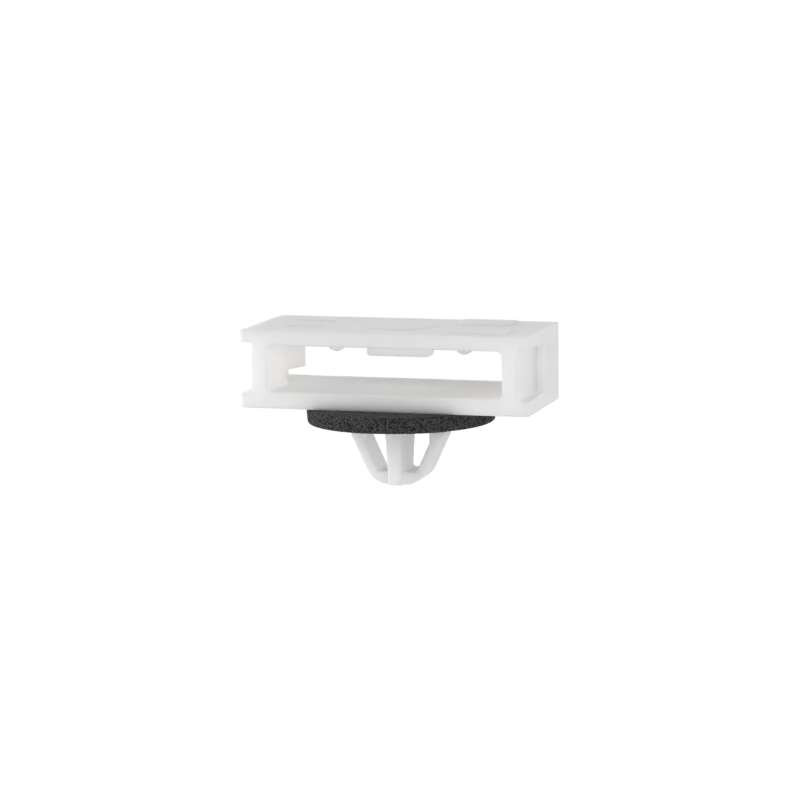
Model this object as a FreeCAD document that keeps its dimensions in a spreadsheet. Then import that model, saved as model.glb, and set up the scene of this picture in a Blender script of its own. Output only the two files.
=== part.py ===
import FreeCAD, Part
import os
import Sketcher

# Retaining clip for a body side moulding, in millimetres.
# X runs along the box, Y from front to rear, Z up. The origin is on the stud's axis, in the plane of the
# panel that the clip is pushed into, which is the underside of the foam washer.

doc = FreeCAD.newDocument("retaining_clip")

# Driving sizes
SIZES = [
    # The open box that carries the moulding
    ("box_length", 36.2),
    ("box_depth", 15.0),
    ("box_height", 9.6),
    ("box_edge_radius", 0.2),
    ("top_plate", 1.85),
    ("bottom_plate", 2.05),
    ("end_wall", 1.9),
    ("window_corner_radius", 0.65),
    ("window_rim_radius", 0.22),
    # The grooves in both ends, which slide on the moulding's rails and narrow up to a stop
    ("groove_depth", 1.45),
    ("groove_end_depth", 0.85),
    ("groove_length", 7.2),
    ("groove_top_flange", 1.5),
    ("groove_bottom_flange", 1.8),
    ("groove_narrowing", 0.2),
    ("groove_top_radius", 0.3),
    ("groove_bottom_radius", 0.7),
    # The pockets that core out the thick rear half of both ends, over and under a rib
    ("pocket_length", 7.4),
    ("pocket_skin", 1.0),
    ("pocket_low_front_height", 1.65),
    ("pocket_low_rear_height", 1.15),
    ("pocket_high_height", 1.05),
    # The boss, the pips and the gate pad on the top plate
    ("boss_length", 8.1),
    ("boss_depth", 2.4),
    ("boss_drop", 1.85),
    ("boss_radius", 0.45),
    ("pip_offset", 8.15),
    ("pip_length", 2.6),
    ("pip_depth", 3.0),
    ("pip_drop", 1.5),
    ("gate_pad_diameter", 9.4),
    ("gate_pad_height", 0.14),
    ("gate_pad_slope", 0.35),
    # The push-in stud: a flat stem, and an arrow of two barbs that fold in through the panel's hole
    ("stem_width", 2.6),
    ("stem_foot_width", 1.65),
    ("stem_proud", 1.1),
    ("stem_edge_radius", 0.2),
    ("stud_length", 7.7),
    ("barb_depth", 4.4),
    ("barb_span", 12.0),
    ("barb_thickness", 1.05),
    ("barb_tip_height", 2.0),
    ("barb_tip_radius", 0.3),
    ("shoulder_drop", 0.65),
    ("grip_gap", 0.5),
    ("nose_width", 5.9),
    ("nose_radius", 3.0),
    ("nose_web", 1.55),
    ("gap_radius", 0.5),
    # The foam washer
    ("foam_diameter", 23.1),
    ("foam_thickness", 2.0),
    ("foam_bore_clearance", 0.05),
]

sizes = doc.addObject("Spreadsheet::Sheet", "sizes")
for row, (alias, value) in enumerate(SIZES, start=1):
    sizes.set(f"A{row}", str(value))
    sizes.setAlias(f"A{row}", alias)
doc.recompute()

# Every sketch's own origin, as the start of its level axis, and the whole of the upright axis that follows it
ORIGIN = (-1, 1)
UPRIGHT_AXIS = (ORIGIN[0] - 1, 0)
NEARNESS = 1e-4
EQUATOR = 0


def size(alias):
    """The value of one cell."""
    return float(sizes.get(alias))


def origin_plane(body, role):
    """One of the three planes through the body's origin."""
    return next(item for item in body.Origin.OriginFeatures if item.Role == role)


def new_sketch(body, name, plane, offset=None):
    """A sketch on one of the body's origin planes, moved along the plane's normal by an expression."""
    sketch = body.newObject("Sketcher::SketchObject", name)
    sketch.AttachmentSupport = (origin_plane(body, plane), [""])
    sketch.MapMode = "FlatFace"
    if offset:
        sketch.setExpression("AttachmentOffset.Base.z", offset)
    return sketch


def draw_loop(sketch, points):
    """A closed loop of lines through the points. Line i starts at point i. Returns the lines' numbers."""
    vectors = [FreeCAD.Vector(x, y, 0) for x, y in points]
    lines = []
    for start, end in zip(vectors, vectors[1:] + vectors[:1]):
        lines.append(sketch.addGeometry(Part.LineSegment(start, end)))
    for line, following in zip(lines, lines[1:] + lines[:1]):
        sketch.addConstraint(Sketcher.Constraint("Coincident", line, 2, following, 1))
    return lines


def relate(sketch, kind, *elements):
    """A constraint with no size, such as Parallel or Symmetric."""
    sketch.addConstraint(Sketcher.Constraint(kind, *elements))


def dimension(sketch, kind, first, second, expression):
    """A dimension from one point to another, or from a point to a line, bound to the sheet."""
    value = float(sketch.evalExpression(expression))
    number = sketch.addConstraint(Sketcher.Constraint(kind, *first, *second, value))
    sketch.setExpression(f"Constraints[{number}]", expression)


def draw_rectangle(sketch, left, bottom, right, top):
    """A rectangle with level and upright sides. Its corners run anticlockwise from the lower left."""
    lines = draw_loop(sketch, [(left, bottom), (right, bottom), (right, top), (left, top)])
    for line, kind in zip(lines, ("Horizontal", "Vertical", "Horizontal", "Vertical")):
        relate(sketch, kind, line)
    return lines


def extrude(body, kind, name, sketch, length, symmetric=False, reverse=False):
    """A Pad or a Pocket of a sketch, with its length bound to the sheet."""
    feature = body.newObject("PartDesign::" + kind, name)
    feature.Profile = sketch
    if symmetric:
        feature.SideType = "Symmetric"
    feature.Reversed = reverse
    feature.setExpression("Length", length)
    doc.recompute()
    return feature


def mirror_ends(body, name, feature):
    """The same feature at the other end of the box."""
    mirrored = body.newObject("PartDesign::Mirrored", name)
    mirrored.Originals = [feature]
    mirrored.MirrorPlane = (origin_plane(body, "YZ_Plane"), [""])
    body.Tip = mirrored
    doc.recompute()


def near(value, wanted):
    """Whether two places are the same."""
    return abs(value - wanted) < NEARNESS


def round_edges(body, name, radius, chosen):
    """A fillet on those edges of the last feature that the test picks by their middle and run."""
    base = body.Tip
    names = []
    for number, edge in enumerate(base.Shape.Edges, start=1):
        middle = edge.valueAt((edge.FirstParameter + edge.LastParameter) / 2)
        ends = [vertex.Point for vertex in edge.Vertexes]
        run = ends[-1] - ends[0]
        if chosen(middle, run):
            names.append(f"Edge{number}")
    if not names:
        raise RuntimeError(name + " found no edge")
    fillet = body.newObject("PartDesign::Fillet", name)
    fillet.Base = (base, names)
    fillet.setExpression("Radius", radius)
    body.Tip = fillet
    doc.recompute()


def along(run, axis):
    """Whether an edge runs along one axis only."""
    others = [part for name, part in zip("xyz", run) if name != axis]
    return all(near(part, 0) for part in others) and run.Length > NEARNESS


# Heights and places that several features share
PLATE_UNDERSIDE = "sizes.foam_thickness"
PLATE_TOP = "sizes.foam_thickness + sizes.bottom_plate"
BOX_TOP = "sizes.foam_thickness + sizes.box_height"
CEILING = "sizes.foam_thickness + sizes.box_height - sizes.top_plate"
WINDOW_LENGTH = "sizes.box_length - 2 * (sizes.groove_depth + sizes.end_wall)"
STEM_FRONT = "sizes.barb_depth / 2 + sizes.stem_proud"
NO_NARROWING = "0"

half_length = size("box_length") / 2
half_depth = size("box_depth") / 2
half_window = half_length - size("groove_depth") - size("end_wall")
web_face = half_length - size("groove_depth")
underside = size("foam_thickness")
plate_top = underside + size("bottom_plate")
box_top = underside + size("box_height")
ceiling = box_top - size("top_plate")
groove_floor = underside + size("groove_bottom_flange")
groove_roof = box_top - size("groove_top_flange")
stem_front = size("barb_depth") / 2 + size("stem_proud")


# The moulding: box and stud in one shot
clip_body = doc.addObject("PartDesign::Body", "clip_body")
clip_body.Label = "clip_body"


def add_box(body):
    """The box, open at the front and the rear, with every outer edge rounded."""
    sketch = new_sketch(body, "box_section", "XZ_Plane")
    outer = draw_rectangle(sketch, -half_length, underside, half_length, box_top)
    dimension(sketch, "DistanceX", (outer[0], 1), ORIGIN, "sizes.box_length / 2")
    dimension(sketch, "DistanceX", (outer[0], 1), (outer[0], 2), "sizes.box_length")
    dimension(sketch, "DistanceY", ORIGIN, (outer[0], 1), PLATE_UNDERSIDE)
    dimension(sketch, "DistanceY", (outer[1], 1), (outer[1], 2), "sizes.box_height")
    window = draw_rectangle(sketch, -half_window, plate_top, half_window, ceiling)
    dimension(sketch, "DistanceX", (window[0], 1), ORIGIN, f"({WINDOW_LENGTH}) / 2")
    dimension(sketch, "DistanceX", (window[0], 1), (window[0], 2), WINDOW_LENGTH)
    dimension(sketch, "DistanceY", (outer[0], 1), (window[0], 1), "sizes.bottom_plate")
    dimension(sketch, "DistanceY", (window[2], 1), (outer[2], 1), "sizes.top_plate")
    extrude(body, "Pad", "box", sketch, "sizes.box_depth", symmetric=True)

    def window_corner(middle, run):
        return along(run, "y") and near(abs(middle.x), half_window)

    def box_edge(middle, run):
        places = (near(abs(middle.x), half_length), near(abs(middle.y), half_depth),
                  near(middle.z, underside) or near(middle.z, box_top))
        return sum(places) == 2

    def window_rim(middle, run):
        across = abs(middle.x) < half_window + NEARNESS
        upright = plate_top - NEARNESS < middle.z < ceiling + NEARNESS
        return across and upright and near(abs(middle.y), half_depth)

    round_edges(body, "window_corners", "sizes.window_corner_radius", window_corner)
    round_edges(body, "box_edges", "sizes.box_edge_radius", box_edge)
    round_edges(body, "window_rims", "sizes.window_rim_radius", window_rim)


def groove_section(body, name, place, depth, narrowing):
    """One section of the right-hand groove, from its web out to the end of the box."""
    sketch = new_sketch(body, name, "XZ_Plane", place)
    outline = draw_rectangle(sketch, web_face, groove_floor, half_length, groove_roof)
    dimension(sketch, "DistanceX", (outline[0], 1), (outline[0], 2), depth)
    dimension(sketch, "DistanceX", ORIGIN, (outline[0], 2), "sizes.box_length / 2")
    lower = f"{PLATE_UNDERSIDE} + sizes.groove_bottom_flange + {narrowing}"
    upper = f"{BOX_TOP} - sizes.groove_top_flange - {narrowing}"
    dimension(sketch, "DistanceY", ORIGIN, (outline[0], 1), lower)
    dimension(sketch, "DistanceY", ORIGIN, (outline[2], 1), upper)
    return sketch


def add_grooves(body):
    """A groove in each end, open at the front, that narrows to a stop, with a deep radius at its floor."""
    groove = body.newObject("PartDesign::SubtractiveLoft", "groove")
    front = "sizes.box_depth / 2"
    stop = front + " - sizes.groove_length"
    groove.Profile = groove_section(body, "groove_mouth", front, "sizes.groove_depth", NO_NARROWING)
    end_section = groove_section(body, "groove_end", stop, "sizes.groove_end_depth", "sizes.groove_narrowing")
    groove.Sections = [end_section]
    groove.Ruled = True
    body.Tip = groove
    doc.recompute()
    mirror_ends(body, "groove_pair", groove)
    web_middle = (web_face + half_length - size("groove_end_depth")) / 2
    middle_floor = groove_floor + size("groove_narrowing") / 2
    middle_roof = groove_roof - size("groove_narrowing") / 2

    def groove_corner(height):
        def test(middle, run):
            return near(abs(middle.x), web_middle) and near(middle.z, height)
        return test

    round_edges(body, "groove_roofs", "sizes.groove_top_radius", groove_corner(middle_roof))
    round_edges(body, "groove_floors", "sizes.groove_bottom_radius", groove_corner(middle_floor))


def add_end_pockets(body):
    """Pockets from the rear, which leave a rib and an outer skin in the rear half of each end."""
    sketch = new_sketch(body, "pocket_sides", "YZ_Plane")
    inner = half_depth - size("pocket_length")
    low_front = plate_top + size("pocket_low_front_height")
    low_rear = plate_top + size("pocket_low_rear_height")
    low = draw_loop(sketch, [(inner, plate_top), (half_depth, plate_top),
                             (half_depth, low_rear), (inner, low_front)])
    relate(sketch, "Horizontal", low[0])
    relate(sketch, "Vertical", low[1])
    relate(sketch, "Vertical", low[3])
    dimension(sketch, "DistanceX", (low[0], 1), (low[0], 2), "sizes.pocket_length")
    dimension(sketch, "DistanceX", ORIGIN, (low[0], 2), "sizes.box_depth / 2")
    dimension(sketch, "DistanceY", ORIGIN, (low[0], 1), PLATE_TOP)
    dimension(sketch, "DistanceY", (low[1], 1), (low[1], 2), "sizes.pocket_low_rear_height")
    dimension(sketch, "DistanceY", (low[0], 1), (low[3], 1), "sizes.pocket_low_front_height")
    high = draw_rectangle(sketch, inner, ceiling - size("pocket_high_height"), half_depth, ceiling)
    dimension(sketch, "DistanceX", (high[0], 1), (high[0], 2), "sizes.pocket_length")
    dimension(sketch, "DistanceX", ORIGIN, (high[0], 2), "sizes.box_depth / 2")
    dimension(sketch, "DistanceY", (high[1], 1), (high[1], 2), "sizes.pocket_high_height")
    dimension(sketch, "DistanceY", ORIGIN, (high[2], 1), CEILING)
    span = "sizes.box_length - 2 * sizes.pocket_skin"
    extrude(body, "Pocket", "end_pockets", sketch, span, symmetric=True)


def add_boss(body):
    """The rectangular boss under the top plate, with its lower edges and corners rounded."""
    half_boss = size("boss_length") / 2
    half_boss_depth = size("boss_depth") / 2
    sketch = new_sketch(body, "boss_plan", "XY_Plane", CEILING)
    plan = draw_rectangle(sketch, -half_boss, -half_boss_depth, half_boss, half_boss_depth)
    relate(sketch, "Symmetric", plan[0], 1, plan[2], 1, *ORIGIN)
    dimension(sketch, "DistanceX", (plan[0], 1), (plan[0], 2), "sizes.boss_length")
    dimension(sketch, "DistanceY", (plan[1], 1), (plan[1], 2), "sizes.boss_depth")
    extrude(body, "Pad", "boss", sketch, "sizes.boss_drop", reverse=True)

    def boss_edge(middle, run):
        corner = near(abs(middle.x), half_boss) and near(abs(middle.y), half_boss_depth)
        lower = near(middle.z, ceiling - size("boss_drop"))
        return lower or (corner and along(run, "z"))

    round_edges(body, "boss_edges", "sizes.boss_radius", boss_edge)


def add_pips(body):
    """A domed pip at each side of the boss."""
    pip = body.newObject("PartDesign::AdditiveEllipsoid", "pip")
    pip.setExpression("Radius1", "sizes.pip_drop")
    pip.setExpression("Radius2", "sizes.pip_length / 2")
    pip.setExpression("Radius3", "sizes.pip_depth / 2")
    pip.Angle2 = EQUATOR
    pip.setExpression("Placement.Base.x", "sizes.pip_offset")
    pip.setExpression("Placement.Base.z", CEILING)
    doc.recompute()
    mirror_ends(body, "pip_pair", pip)


def add_gate_pad(body):
    """The low round pad on the top face, over the boss."""
    pad = body.newObject("PartDesign::AdditiveCone", "gate_pad")
    pad.setExpression("Radius1", "sizes.gate_pad_diameter / 2")
    pad.setExpression("Radius2", "sizes.gate_pad_diameter / 2 - sizes.gate_pad_slope")
    pad.setExpression("Height", "sizes.gate_pad_height")
    pad.setExpression("Placement.Base.z", BOX_TOP)
    doc.recompute()


def add_barbs(body):
    """The arrow: two springy barbs that rise from a round nose, clear of the stem."""
    tip = -size("stud_length")
    floor = tip + size("nose_web")
    shoulder = -size("grip_gap")
    outer = shoulder - size("shoulder_drop")
    knee = shoulder - size("barb_tip_height")
    half_stem = size("stem_width") / 2
    half_foot = size("stem_foot_width") / 2
    half_span = size("barb_span") / 2
    half_nose = size("nose_width") / 2
    lean = (half_span - half_nose) / (outer - tip)
    wall = size("barb_thickness") * (1 + lean ** 2) ** 0.5
    inner_floor = half_nose + lean * (floor - tip) - wall
    inner_knee = half_nose + lean * (knee - tip) - wall
    right = [(half_stem, underside), (half_foot, floor), (inner_floor, floor), (inner_knee, knee),
             (inner_knee, shoulder), (half_span, outer), (half_nose, tip)]
    left = [(-x, z) for x, z in reversed(right)]
    sketch = new_sketch(body, "arrow_outline", "XZ_Plane")
    lines = draw_loop(sketch, right + left)
    stem, gap, flank, tip_wall, top, slope, nose = lines[:len(right)]
    for line, opposite in zip(lines[:len(right)], reversed(lines[len(right):])):
        relate(sketch, "Symmetric", line, 1, opposite, 1, *UPRIGHT_AXIS)
    last = lines[-1]
    dimension(sketch, "DistanceX", (last, 1), (stem, 1), "sizes.stem_width")
    dimension(sketch, "DistanceY", ORIGIN, (stem, 1), PLATE_UNDERSIDE)
    dimension(sketch, "DistanceX", (lines[-2], 1), (gap, 1), "sizes.stem_foot_width")
    dimension(sketch, "DistanceY", (nose, 1), (gap, 1), "sizes.nose_web")
    relate(sketch, "Horizontal", gap)
    relate(sketch, "Parallel", flank, slope)
    relate(sketch, "Vertical", tip_wall)
    dimension(sketch, "Distance", (tip_wall, 1), (slope,), "sizes.barb_thickness")
    dimension(sketch, "DistanceY", (tip_wall, 1), (tip_wall, 2), "sizes.barb_tip_height")
    dimension(sketch, "DistanceY", (top, 1), ORIGIN, "sizes.grip_gap")
    dimension(sketch, "DistanceY", (top, 2), (top, 1), "sizes.shoulder_drop")
    dimension(sketch, "DistanceX", (lines[-6], 1), (slope, 1), "sizes.barb_span")
    dimension(sketch, "DistanceX", (nose, 2), (nose, 1), "sizes.nose_width")
    dimension(sketch, "DistanceY", (nose, 1), ORIGIN, "sizes.stud_length")
    extrude(body, "Pad", "barbs", sketch, "sizes.barb_depth", symmetric=True)

    def corner(*places):
        def test(middle, run):
            return along(run, "y") and any(near(abs(middle.x), x) and near(middle.z, z) for x, z in places)
        return test

    round_edges(body, "nose_rounds", "sizes.nose_radius", corner((half_nose, tip)))
    round_edges(body, "gap_rounds", "sizes.gap_radius", corner((half_foot, floor), (inner_floor, floor)))
    tips = corner((half_span, outer), (inner_knee, shoulder))
    round_edges(body, "barb_tips", "sizes.barb_tip_radius", tips)


def add_stem(body):
    """The flat stem, which stands proud of the barbs at the front, down to the tip."""
    half_stem = size("stem_width") / 2
    half_foot = size("stem_foot_width") / 2
    tip = -size("stud_length")
    floor = tip + size("nose_web")
    sketch = new_sketch(body, "stem_outline", "XZ_Plane", STEM_FRONT)
    lines = draw_loop(sketch, [(half_stem, underside), (half_foot, floor), (half_foot, tip),
                               (-half_foot, tip), (-half_foot, floor), (-half_stem, underside)])
    side, foot, end, other_foot, other_side, root = lines
    for line, opposite in ((side, root), (foot, other_side), (end, other_foot)):
        relate(sketch, "Symmetric", line, 1, opposite, 1, *UPRIGHT_AXIS)
    relate(sketch, "Vertical", foot)
    dimension(sketch, "DistanceX", (root, 1), (side, 1), "sizes.stem_width")
    dimension(sketch, "DistanceY", ORIGIN, (side, 1), PLATE_UNDERSIDE)
    dimension(sketch, "DistanceX", (other_foot, 1), (end, 1), "sizes.stem_foot_width")
    dimension(sketch, "DistanceY", (end, 1), (foot, 1), "sizes.nose_web")
    dimension(sketch, "DistanceY", (end, 1), ORIGIN, "sizes.stud_length")
    extrude(body, "Pad", "stem", sketch, "sizes.barb_depth + sizes.stem_proud", reverse=True)

    def stem_edge(middle, run):
        return near(middle.y, -stem_front) and middle.z < underside - NEARNESS

    round_edges(body, "stem_edges", "sizes.stem_edge_radius", stem_edge)


for add_feature in (add_box, add_grooves, add_end_pockets, add_boss, add_pips, add_gate_pad,
                    add_barbs, add_stem):
    add_feature(clip_body)


# The foam washer, which lies against the plate and is centred by the stem's front corners
foam_washer = doc.addObject("PartDesign::Body", "foam_washer")
foam_washer.Label = "foam_washer"
washer_plan = new_sketch(foam_washer, "washer_plan", "XY_Plane")
BORE_RADIUS = f"sqrt((sizes.stem_width / 2) ^ 2 + ({STEM_FRONT}) ^ 2) + sizes.foam_bore_clearance"
for radius in ("sizes.foam_diameter / 2", BORE_RADIUS):
    ring = washer_plan.addGeometry(Part.Circle(FreeCAD.Vector(), FreeCAD.Vector(0, 0, 1), 1.0))
    relate(washer_plan, "Coincident", ring, 3, *ORIGIN)
    dimension(washer_plan, "Radius", (ring,), (), radius)
extrude(foam_washer, "Pad", "washer", washer_plan, "sizes.foam_thickness")


# Every object must have been computed, and every piece must be one valid solid, before anything is written
doc.recompute()
failed = [item.Name for item in doc.Objects if {"Invalid", "Error"} & set(item.State)]
if failed:
    raise RuntimeError("not computed: " + ", ".join(failed))
os.makedirs("parts", exist_ok=True)
pieces = (clip_body, foam_washer)
for piece in pieces:
    if piece.Shape.isNull() or not piece.Shape.isValid() or len(piece.Shape.Solids) != 1:
        raise RuntimeError(piece.Label + " is not one valid solid")
for piece in pieces:
    piece.Shape.exportStep(f"parts/{piece.Label}.step")
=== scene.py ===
import math

import bmesh
import bpy
from mathutils import Matrix, Vector, noise


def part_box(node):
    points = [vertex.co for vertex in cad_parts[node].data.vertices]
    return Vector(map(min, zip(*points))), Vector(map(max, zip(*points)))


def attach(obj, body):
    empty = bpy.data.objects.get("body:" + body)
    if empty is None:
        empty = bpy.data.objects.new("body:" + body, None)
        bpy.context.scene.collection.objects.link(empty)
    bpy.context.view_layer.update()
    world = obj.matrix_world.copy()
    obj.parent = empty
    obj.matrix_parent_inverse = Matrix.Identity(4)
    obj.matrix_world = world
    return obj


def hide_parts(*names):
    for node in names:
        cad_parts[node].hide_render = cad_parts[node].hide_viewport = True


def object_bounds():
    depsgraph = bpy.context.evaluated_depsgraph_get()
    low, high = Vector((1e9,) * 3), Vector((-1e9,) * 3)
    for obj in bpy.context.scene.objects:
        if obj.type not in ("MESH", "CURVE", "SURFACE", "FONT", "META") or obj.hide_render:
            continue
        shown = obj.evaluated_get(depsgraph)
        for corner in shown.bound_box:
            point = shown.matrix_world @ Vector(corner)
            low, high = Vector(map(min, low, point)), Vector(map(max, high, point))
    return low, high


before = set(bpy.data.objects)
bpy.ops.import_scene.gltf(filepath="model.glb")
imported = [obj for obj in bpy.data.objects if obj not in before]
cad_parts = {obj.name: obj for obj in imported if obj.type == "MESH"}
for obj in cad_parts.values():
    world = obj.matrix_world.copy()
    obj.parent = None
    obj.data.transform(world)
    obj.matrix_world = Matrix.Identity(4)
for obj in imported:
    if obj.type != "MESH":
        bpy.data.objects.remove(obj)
cad_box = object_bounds()

# Units: metres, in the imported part's own frame. X runs along the box, Y from front to rear, Z up.
MM = 0.001
MERGE_DISTANCE = 0.001 * MM

# The camera, as fitted to the edges of the box and to the round washer in the photograph
CAMERA_LENS = 135.0
CAMERA_SENSOR = 36.0
CAMERA_YAW = math.radians(16.872)
CAMERA_ELEVATION = math.radians(8.676)
CAMERA_ROLL = math.radians(-0.728)
CAMERA_DISTANCE = 368.372 * MM
CAMERA_AIM_RIGHT = -0.147 * MM
CAMERA_AIM_UP = 2.320 * MM
CAMERA_AIM_BASE = Vector((0.0, 0.0, 0.06 * MM))
CAMERA_NEAR = 5.0 * MM

# The blank raised tablets on the top face: middle, length and depth in plan
TABLETS = [
    ((11.0 * MM, -4.3 * MM), 8.0 * MM, 4.4 * MM),
    ((9.95 * MM, 4.4 * MM), 7.1 * MM, 4.4 * MM),
    ((-11.8 * MM, -2.3 * MM), 4.7 * MM, 1.3 * MM),
    ((-11.8 * MM, 2.8 * MM), 4.9 * MM, 1.3 * MM),
]
TABLET_HEIGHT = 0.20 * MM
TABLET_ROOT = 0.4 * MM           # how deep a tablet reaches into the plate below it
TABLET_CORNER = 0.5 * MM
TABLET_EDGE = 0.08 * MM
GATE_PAD_HEIGHT = 0.14 * MM

# How the moulding's skin is shaded: what counts as flat, as a crease and as a large flat face
FLAT_ANGLE = math.radians(0.5)
CREASE_ANGLE = math.radians(35)
LARGE_FACE = 2.5 * MM * MM

# The nylon: its clouds, its moulded grain, and how far light wanders inside it
NYLON_CLOUD = 6.0 * MM
NYLON_GRAIN = 0.16 * MM
NYLON_RELIEF = 0.01 * MM
NYLON_GLOW = 4.0 * MM

# The foam washer: its cut edges, and the spacing of the net on its cut side and on its flat faces
FOAM_LOWER_EDGE = 0.28 * MM
FOAM_UPPER_EDGE = 0.10 * MM
FOAM_STEP = 0.080 * MM
FOAM_FACE_STEP = 0.25 * MM

# The foam's cells. A cell's reach is a share of its size, and CELL_DRAW picks a reach for each cell.
CELL_SIZE = 0.32 * MM
CELL_REACH = 0.42
CELL_REACH_SPREAD = 0.22
CELL_DRAW = 7.31
CELL_DEPTH = 0.20 * MM
SKIN_CELL_DEPTH = 0.06 * MM
SKIN_SHADE_EASE = 0.6              # how much of the painted shade in the cells is taken off on the flat faces, so those cells stay nearly as pale as the walls
# Name of the vertex attribute that carries painted shade: 1 keeps a cell wall's colour, lower values darken a
# point inside an open cell
PAINTED_CELL_SHADE = "painted_cell_shade"
# Size of the foam's fine specks, which roughen its surface and also place the painted highlights on its cell
# walls
FOAM_SPECK_AND_GLINT = 0.14 * MM
FOAM_RELIEF = 0.05 * MM

# How the foam hangs at the left: it droops, its upper edge leans out and its lower edge turns back in
FOAM_DROOP = 0.16 * MM
FOAM_LEAN = 0.15 * MM
FOAM_TURN = 1.5
FOAM_WAVE = 0.07 * MM
FOAM_WAVE_SIZE = 5.0 * MM

# Stage: the white card's size and its place below the stud, and the lamps around it
FLOOR_SIZE = 8.0
FLOOR_GAP = 218.0 * MM
FLOOR_GLOW = 0.84
LAMP_DISTANCE = 0.70
LAMP_SIZE = 0.60
ROOM_LIGHT = 0.20
WALL_BOUNCES = 12                # light passes through and between the milky walls many times
LAMPS = [
    # name, degrees round from the front to the right, degrees up, watts
    ("front_lamp", 10, 12, 0.55),
    ("front_right_lamp", 45, 8, 1.50),
    ("low_front_lamp", -5, -18, 1.35),
    ("left_lamp", -80, 12, 3.15),
    ("back_lamp", 180, 10, 0.65),
    ("back_right_lamp", 140, 10, 1.22),
    ("top_lamp", 0, 88, 0.75),
]

# A Mix node's colour sockets, by number, because its other data types use the same names
MIX_A = 6
MIX_B = 7
MIX_RESULT = 2

foam_low, foam_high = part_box("foam_washer")
box_top = cad_box[1].z - GATE_PAD_HEIGHT


def linear(code):
    """A colour written as an sRGB hex value, in linear light."""
    parts = [int(code[i:i + 2], 16) / 255 for i in (1, 3, 5)]
    return [p / 12.92 if p <= 0.04045 else ((p + 0.055) / 1.055) ** 2.4 for p in parts] + [1.0]


def add_node(tree, kind, inputs=None, **settings):
    """A node with its settings. An input is a value, or an output socket that is linked to it."""
    node = tree.nodes.new(kind)
    for name, value in settings.items():
        setattr(node, name, value)
    for name, value in (inputs or {}).items():
        if isinstance(value, bpy.types.NodeSocket):
            tree.links.new(value, node.inputs[name])
        else:
            node.inputs[name].default_value = value
    return node


def new_material(name):
    """An empty node material. Returns it with its node tree."""
    material = bpy.data.materials.new(name)
    material.use_nodes = True
    material.node_tree.nodes.clear()
    return material, material.node_tree


def new_piece(name, bm):
    """A mesh object made from a bmesh, standing at the origin."""
    mesh = bpy.data.meshes.new(name)
    bm.to_mesh(mesh)
    bm.free()
    piece = bpy.data.objects.new(name, mesh)
    bpy.context.scene.collection.objects.link(piece)
    return piece


# Materials
def natural_moulded_nylon():
    """Uncoloured nylon, injection moulded: milky, satin and faintly cloudy, glowing where it is thin."""
    material, tree = new_material("natural_moulded_nylon")
    place = add_node(tree, "ShaderNodeTexCoord").outputs["Object"]
    clouds = add_node(tree, "ShaderNodeTexNoise", {
        "Vector": place, "Scale": 1 / NYLON_CLOUD, "Detail": 3.0, "Roughness": 0.5})
    tint = add_node(tree, "ShaderNodeMix", {
        "Factor": clouds.outputs["Fac"], MIX_A: linear("#F9F8F6"), MIX_B: linear("#FBFAF9")},
        data_type="RGBA")
    grain = add_node(tree, "ShaderNodeTexNoise", {"Vector": place, "Scale": 1 / NYLON_GRAIN, "Detail": 2.0})
    gloss = add_node(tree, "ShaderNodeMapRange", {
        "Value": grain.outputs["Fac"], "To Min": 0.50, "To Max": 0.62})
    relief = add_node(tree, "ShaderNodeBump", {
        "Height": grain.outputs["Fac"], "Strength": 0.25, "Distance": NYLON_RELIEF})
    surface = add_node(tree, "ShaderNodeBsdfPrincipled", {
        "Base Color": tint.outputs[MIX_RESULT], "Roughness": gloss.outputs["Result"],
        "Normal": relief.outputs["Normal"], "IOR": 1.53, "Specular IOR Level": 0.35,
        "Subsurface Weight": 1.0, "Subsurface Radius": (1.0, 0.99, 0.98),
        "Subsurface Scale": NYLON_GLOW})
    add_node(tree, "ShaderNodeOutputMaterial", {"Surface": surface.outputs["BSDF"]})
    return material


def black_open_cell_foam():
    """Black foam cut from a sheet: matt, with painted shading that darkens its open cells, and paler cell
    walls flecked with painted highlights.
    """
    material, tree = new_material("black_open_cell_foam")
    place = add_node(tree, "ShaderNodeTexCoord").outputs["Object"]
    # Painted shade of the open cells, read from the vertex attribute that foam_pad writes
    cells = add_node(tree, "ShaderNodeAttribute", attribute_name=PAINTED_CELL_SHADE)
    relief_and_glint_specks = add_node(tree, "ShaderNodeTexNoise", {
        "Vector": place, "Scale": 1 / FOAM_SPECK_AND_GLINT, "Detail": 2.0, "Roughness": 0.6})
    # Painted highlight: where the fine specks peak, the cell walls are lightened from #1A1919 towards
    # #5E5D5C, standing in for glints of light on them
    painted_glints = add_node(tree, "ShaderNodeMapRange", {
        "Value": relief_and_glint_specks.outputs["Fac"], "From Min": 0.40, "From Max": 0.68})
    walls = add_node(tree, "ShaderNodeMix", {
        "Factor": painted_glints.outputs["Result"], MIX_A: linear("#1A1919"), MIX_B: linear("#5E5D5C")},
        data_type="RGBA")
    # Painted shade: inside the open cells the colour is darkened towards #0C0C0C, standing in for the shade
    # that falls in the hollows
    tint = add_node(tree, "ShaderNodeMix", {
        "Factor": cells.outputs["Fac"], MIX_A: linear("#0C0C0C"), MIX_B: walls.outputs[MIX_RESULT]},
        data_type="RGBA")
    relief = add_node(tree, "ShaderNodeBump", {
        "Height": relief_and_glint_specks.outputs["Fac"], "Strength": 0.6, "Distance": FOAM_RELIEF})
    surface = add_node(tree, "ShaderNodeBsdfPrincipled", {
        "Base Color": tint.outputs[MIX_RESULT], "Roughness": 0.9, "Specular IOR Level": 0.2,
        "Normal": relief.outputs["Normal"]})
    add_node(tree, "ShaderNodeOutputMaterial", {"Surface": surface.outputs["BSDF"]})
    return material


def seen_ray(tree):
    """1 for a ray from the camera or a glossy or clear surface, 0 for a ray that only carries light."""
    path = add_node(tree, "ShaderNodeLightPath").outputs
    seen = path["Is Camera Ray"]
    for kind in ("Is Glossy Ray", "Is Transmission Ray"):
        seen = add_node(tree, "ShaderNodeMath", {0: seen, 1: path[kind]}, operation="MAXIMUM").outputs[0]
    return seen


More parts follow.
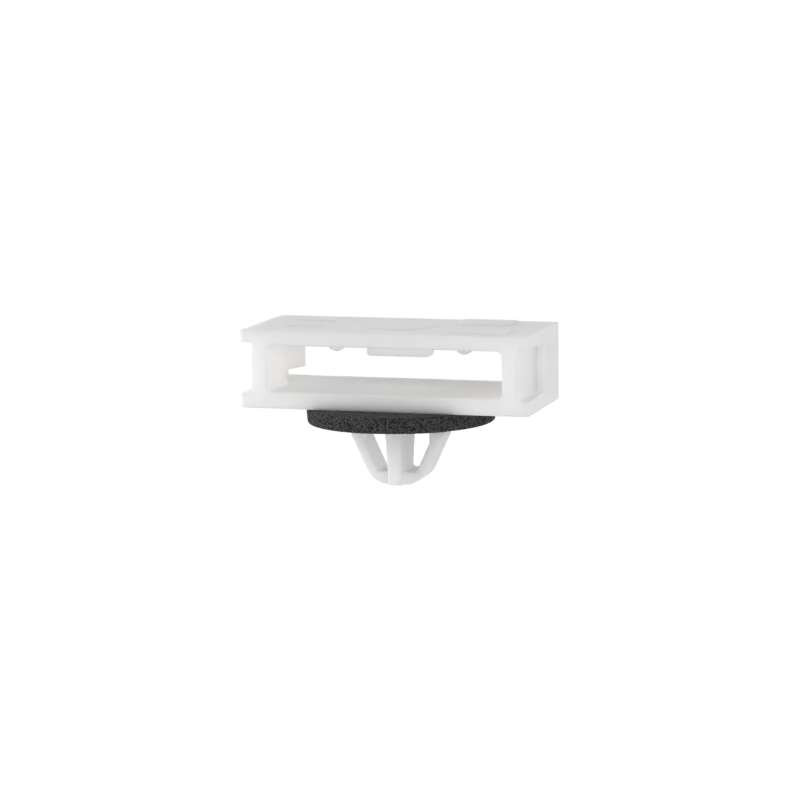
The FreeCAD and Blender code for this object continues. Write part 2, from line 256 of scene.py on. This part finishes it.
def white_studio_card():
    """White card below the part: matt, it bounces light up, takes the part's shadow and is seen as white."""
    material, tree = new_material("white_studio_card")
    card = add_node(tree, "ShaderNodeBsdfDiffuse", {"Color": linear("#EDEDED")})
    glow = add_node(tree, "ShaderNodeEmission", {"Color": linear("#FFFFFF"), "Strength": FLOOR_GLOW})
    none = add_node(tree, "ShaderNodeEmission", {"Strength": 0.0})
    shown = add_node(tree, "ShaderNodeMixShader", {
        0: seen_ray(tree), 1: none.outputs[0], 2: glow.outputs[0]})
    both = add_node(tree, "ShaderNodeAddShader", {0: card.outputs[0], 1: shown.outputs[0]})
    add_node(tree, "ShaderNodeOutputMaterial", {"Surface": both.outputs[0]})
    return material


# Pieces
def add_tablets(piece):
    """Blank raised tablets, moulded in one with the top plate."""
    bm = bmesh.new()
    height = TABLET_HEIGHT + TABLET_ROOT
    for (x, y), length, depth in TABLETS:
        made = bmesh.ops.create_cube(bm, size=1.0)["verts"]
        bmesh.ops.scale(bm, verts=made, vec=(length, depth, height))
        bmesh.ops.translate(bm, verts=made, vec=(x, y, box_top + TABLET_HEIGHT - height / 2))
        edges = {edge for vert in made for edge in vert.link_edges}
        upright = [e for e in edges if abs(e.verts[0].co.z - e.verts[1].co.z) > height / 2]
        bmesh.ops.bevel(bm, geom=upright, offset=TABLET_CORNER, affect="EDGES", segments=6, profile=0.5,
                        material=-1)
    top = [e for e in bm.edges if all(v.co.z > box_top + TABLET_HEIGHT / 2 for v in e.verts)]
    rim = [e for e in top if len({round(f.normal.z) for f in e.link_faces}) == 2]
    bmesh.ops.bevel(bm, geom=rim, offset=TABLET_EDGE, affect="EDGES", segments=2, profile=0.5, material=-1)
    tablets = new_piece("tablets", bm)
    union = piece.modifiers.new("tablets", "BOOLEAN")
    union.operation = "UNION"
    union.solver = "EXACT"
    union.object = tablets
    graph = bpy.context.evaluated_depsgraph_get()
    joined = bpy.data.meshes.new_from_object(piece.evaluated_get(graph))
    piece.modifiers.clear()
    piece.data = joined
    bpy.data.objects.remove(tablets)


def shade_creases(piece):
    """Flat faces made whole, and smooth shading that stops at sharp corners and round large flat faces."""
    bm = bmesh.new()
    bm.from_mesh(piece.data)
    bmesh.ops.dissolve_limit(bm, angle_limit=FLAT_ANGLE, verts=bm.verts, edges=bm.edges)
    for face in bm.faces:
        face.smooth = True
    for edge in bm.edges:
        largest = max(face.calc_area() for face in edge.link_faces)
        edge.smooth = edge.calc_face_angle() < CREASE_ANGLE and largest < LARGE_FACE
    bm.to_mesh(piece.data)
    bm.free()


def moulding():
    """The nylon moulding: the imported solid's own surface, made one closed skin, with its blank tablets."""
    bm = bmesh.new()
    bm.from_mesh(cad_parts["clip_body"].data)
    bmesh.ops.remove_doubles(bm, verts=bm.verts, dist=MERGE_DISTANCE)
    piece = new_piece("nylon_moulding", bm)
    add_tablets(piece)
    shade_creases(piece)
    piece.data.materials.clear()
    piece.data.materials.append(natural_moulded_nylon())
    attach(piece, "root")
    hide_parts("clip_body")


def cell_opening(point):
    """How far a point lies inside an open cell of the foam: 0 on a cell's wall, 1 in a cell's middle."""
    distances, centres = noise.voronoi(point / CELL_SIZE)
    reach = CELL_REACH + CELL_REACH_SPREAD * noise.cell(centres[0] * CELL_DRAW)
    return max(0.0, 1 - (distances[0] / reach) ** 2)


def foam_ring(inner, outer):
    """A plain ring of the washer's section, turned about the stud's axis, with a fine net on its cut side."""
    bm = bmesh.new()
    corners = [bm.verts.new((r, 0.0, z)) for r, z in (
        (inner, foam_low.z), (outer, foam_low.z), (outer, foam_high.z), (inner, foam_high.z))]
    bm.faces.new(corners)
    for corner, radius in ((corners[1], FOAM_LOWER_EDGE), (corners[2], FOAM_UPPER_EDGE)):
        bmesh.ops.bevel(bm, geom=[corner], offset=radius, affect="VERTICES", segments=3, profile=0.5,
                        material=-1)
    bmesh.ops.delete(bm, geom=bm.faces[:], context="FACES_ONLY")
    cut_side = outer - FOAM_LOWER_EDGE - MERGE_DISTANCE
    for edge in bm.edges[:]:
        step = FOAM_STEP if min(v.co.x for v in edge.verts) > cut_side else FOAM_FACE_STEP
        bmesh.ops.subdivide_edges(bm, edges=[edge], cuts=int(edge.calc_length() / step))
    bmesh.ops.spin(bm, geom=bm.verts[:] + bm.edges[:], axis=(0, 0, 1), cent=(0, 0, 0), angle=2 * math.pi,
                   steps=int(2 * math.pi * outer / FOAM_STEP), use_merge=True, use_duplicate=False)
    bmesh.ops.remove_doubles(bm, verts=bm.verts, dist=MERGE_DISTANCE)
    bmesh.ops.recalc_face_normals(bm, faces=bm.faces)
    bm.normal_update()
    return bm


def foam_pad():
    """The foam washer: a ring cut from foam sheet, with open cells on its cut side, painted shading in those
    cells, and a soft droop.
    """
    outer = foam_high.x
    inner = min(vert.co.xy.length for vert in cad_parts["foam_washer"].data.vertices)
    thick = foam_high.z - foam_low.z
    bm = foam_ring(inner, outer)
    # Painted shade: each point's colour is darkened by how far it lies inside an open cell, less so on the
    # flat faces where the cells are shallow
    painted_shade_layer = bm.verts.layers.float.new(PAINTED_CELL_SHADE)
    for vert in bm.verts:
        opening = cell_opening(vert.co)
        flatness = abs(vert.normal.z)
        depth = CELL_DEPTH + (SKIN_CELL_DEPTH - CELL_DEPTH) * flatness
        vert[painted_shade_layer] = 1 - opening * (1 - SKIN_SHADE_EASE * flatness)
        vert.co -= vert.normal * opening * depth
    for vert in bm.verts:
        out = vert.co.xy.length / outer
        low = 1 - (vert.co.z - foam_low.z) / thick
        left = max(0.0, -vert.co.x / outer) * max(0.0, 2 * out - 1)
        wave = noise.noise(vert.co / FOAM_WAVE_SIZE) * FOAM_WAVE * out
        vert.co.z -= FOAM_DROOP * low * left
        vert.co.x -= FOAM_LEAN * (1 - FOAM_TURN * low) * left
        vert.co.xy *= 1 + wave / outer
    piece = new_piece("foam_pad", bm)
    piece.data.materials.append(black_open_cell_foam())
    piece.data.shade_smooth()
    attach(piece, "root")
    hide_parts("foam_washer")


# Stage
def stage():
    """A white card below the part, and a white world."""
    bm = bmesh.new()
    bmesh.ops.create_circle(bm, cap_ends=True, segments=64, radius=FLOOR_SIZE / 2)
    bmesh.ops.translate(bm, verts=bm.verts, vec=(0, 0, cad_box[0].z - FLOOR_GAP))
    floor = new_piece("floor", bm)
    floor.data.materials.append(white_studio_card())
    world = bpy.data.worlds.new("white_studio")
    bpy.context.scene.world = world
    world.use_nodes = True
    tree = world.node_tree
    tree.nodes.clear()
    room = add_node(tree, "ShaderNodeBackground", {"Color": linear("#FFFFFF"), "Strength": ROOM_LIGHT})
    white = add_node(tree, "ShaderNodeBackground", {"Color": linear("#FFFFFF"), "Strength": 1.0})
    mixed = add_node(tree, "ShaderNodeMixShader", {
        0: seen_ray(tree), 1: room.outputs[0], 2: white.outputs[0]})
    add_node(tree, "ShaderNodeOutputWorld", {"Surface": mixed.outputs[0]})


def softbox(name, azimuth, elevation, power):
    """A square soft light that faces the part."""
    light = bpy.data.lights.new(name, "AREA")
    light.size = LAMP_SIZE
    light.energy = power
    lamp = bpy.data.objects.new(name, light)
    turn = (Matrix.Rotation(math.radians(azimuth), 4, "Z")
            @ Matrix.Rotation(math.radians(90 - elevation), 4, "X"))
    lamp.matrix_world = turn @ Matrix.Translation((0, 0, LAMP_DISTANCE))
    bpy.context.scene.collection.objects.link(lamp)


def camera():
    """The camera at the photograph's angle."""
    lens = bpy.data.cameras.new("camera")
    lens.lens = CAMERA_LENS
    lens.sensor_width = CAMERA_SENSOR
    lens.clip_start = CAMERA_NEAR
    lens.clip_end = 2 * FLOOR_SIZE
    turn = (Matrix.Rotation(CAMERA_YAW, 3, "Z") @ Matrix.Rotation(math.pi / 2 - CAMERA_ELEVATION, 3, "X")
            @ Matrix.Rotation(CAMERA_ROLL, 3, "Z"))
    place = CAMERA_AIM_BASE + turn @ Vector((CAMERA_AIM_RIGHT, CAMERA_AIM_UP, CAMERA_DISTANCE))
    eye = bpy.data.objects.new("camera", lens)
    eye.matrix_world = Matrix.Translation(place) @ turn.to_4x4()
    bpy.context.scene.collection.objects.link(eye)
    bpy.context.scene.camera = eye


moulding()
foam_pad()
stage()
for lamp in LAMPS:
    softbox(*lamp)
camera()
bpy.context.scene.view_settings.view_transform = "Standard"
bpy.context.scene.cycles.diffuse_bounces = WALL_BOUNCES
